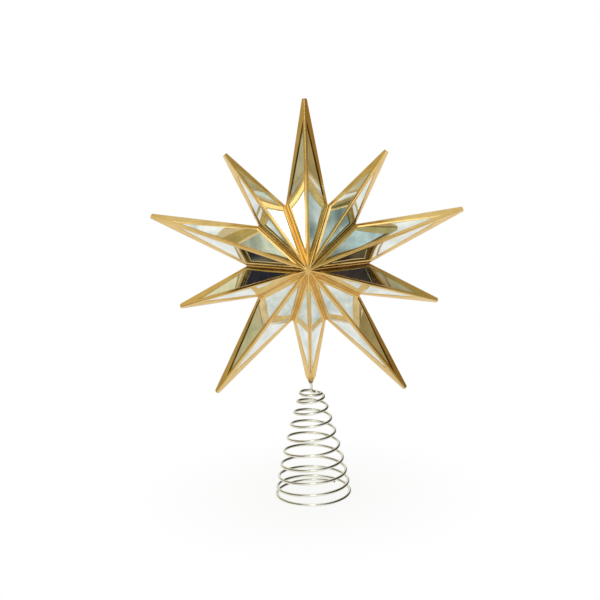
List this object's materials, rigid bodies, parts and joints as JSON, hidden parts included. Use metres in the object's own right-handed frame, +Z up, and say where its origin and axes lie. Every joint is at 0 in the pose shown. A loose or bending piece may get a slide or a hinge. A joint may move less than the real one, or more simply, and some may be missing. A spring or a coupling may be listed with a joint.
{
  "type": "christmas tree topper star",
  "caption": "Faceted star of mirror panes in an openwork gold frame, carried by a conical wire spring that stands alone or slips over the top shoot of a tree.",
  "frame": {"origin": "on the surface that the spring stands on, under the middle of the spring", "axes": "+Z up along the spring and stem, -Y out of the star's front face, +X to the right seen from the front"},
  "size_m": [0.2978, 0.0848, 0.3882],
  "materials": {
    "gold_frame": "metallised antique gold",
    "mirror_pane": "lightly aged mirror",
    "spring_wire": "bright nickel plate",
    "ferrule_metal": "plain"
  },
  "bodies": {
    "spring_base": {"coil_spring": "spring_wire"},
    "stem": {"stem_ferrule": "ferrule_metal"},
    "star": {"back_frame": "gold_frame", "back_mirror_01_left": "mirror_pane", "back_mirror_01_right": "mirror_pane", "back_mirror_02_left": "mirror_pane", "back_mirror_02_right": "mirror_pane", "back_mirror_03_left": "mirror_pane", "back_mirror_03_right": "mirror_pane", "back_mirror_04_left": "mirror_pane", "back_mirror_04_right": "mirror_pane", "back_mirror_05_left": "mirror_pane", "back_mirror_05_right": "mirror_pane", "back_mirror_06_left": "mirror_pane", "back_mirror_06_right": "mirror_pane", "back_mirror_07_left": "mirror_pane", "back_mirror_07_right": "mirror_pane", "back_mirror_08_left": "mirror_pane", "back_mirror_08_right": "mirror_pane", "back_mirror_09_left": "mirror_pane", "back_mirror_09_right": "mirror_pane", "back_mirror_10_left": "mirror_pane", "back_mirror_10_right": "mirror_pane", "front_frame": "gold_frame", "front_mirror_01_left": "mirror_pane", "front_mirror_01_right": "mirror_pane", "front_mirror_02_left": "mirror_pane", "front_mirror_02_right": "mirror_pane", "front_mirror_03_left": "mirror_pane", "front_mirror_03_right": "mirror_pane", "front_mirror_04_left": "mirror_pane", "front_mirror_04_right": "mirror_pane", "front_mirror_05_left": "mirror_pane", "front_mirror_05_right": "mirror_pane", "front_mirror_06_left": "mirror_pane", "front_mirror_06_right": "mirror_pane", "front_mirror_07_left": "mirror_pane", "front_mirror_07_right": "mirror_pane", "front_mirror_08_left": "mirror_pane", "front_mirror_08_right": "mirror_pane", "front_mirror_09_left": "mirror_pane", "front_mirror_09_right": "mirror_pane", "front_mirror_10_left": "mirror_pane", "front_mirror_10_right": "mirror_pane"}
  },
  "joints": [
    {"name": "spring_bounce", "type": "slide", "parent": "spring_base", "child": "stem", "axis": [0, 0, 1], "range_m": [-0.03, 0.01], "stiffness_N_per_m": 600, "springref_m": 0.00443, "deforming": ["coil_spring"]},
    {"name": "star_swivel", "type": "hinge", "parent": "stem", "child": "star", "pos_m": [0, 0, 0.12], "axis": [0, 0, 1], "continuous": true}
  ]
}
